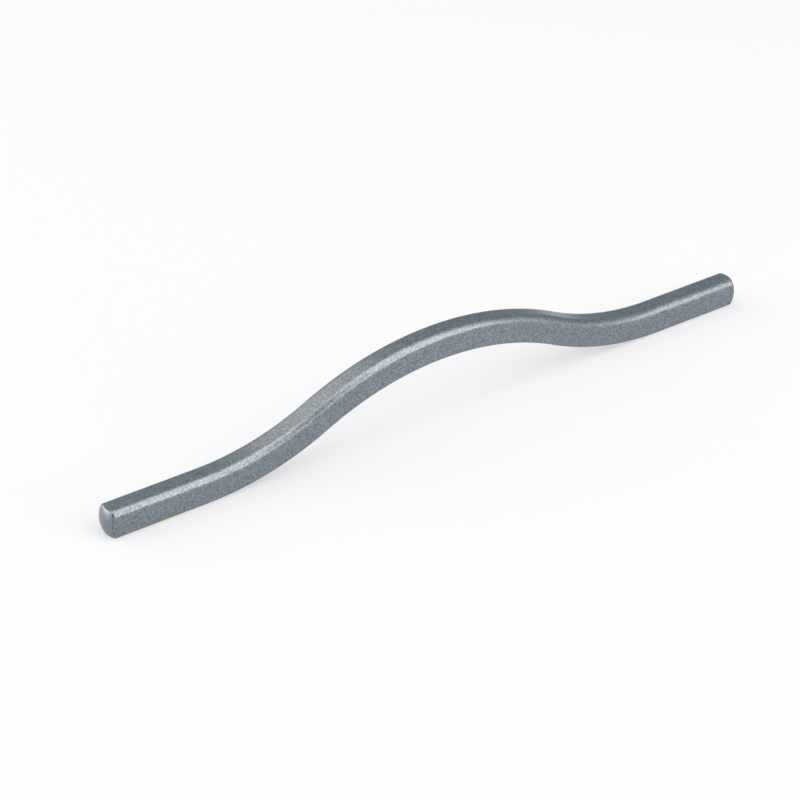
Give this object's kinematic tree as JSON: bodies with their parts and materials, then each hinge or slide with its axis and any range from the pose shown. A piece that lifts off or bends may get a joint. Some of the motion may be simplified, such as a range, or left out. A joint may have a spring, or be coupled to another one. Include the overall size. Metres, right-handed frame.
{
  "type": "arch pull",
  "caption": "Slim bar pull for a drawer or cabinet door that rises from two flat feet into a long low arch, with a blind tapped screw hole in each foot.",
  "frame": {"origin": "in the mounting plane that both feet touch, midway between the feet and midway across the bar", "axes": "+X along the bar from one foot to the other, +Y across the bar, +Z away from the front that the pull is screwed to"},
  "size_m": [0.2306, 0.0078, 0.0284],
  "materials": {
    "grey_metallic_lacquer": "satin"
  },
  "bodies": {
    "root": {"pull_bar": "grey_metallic_lacquer"}
  },
  "joints": []
}
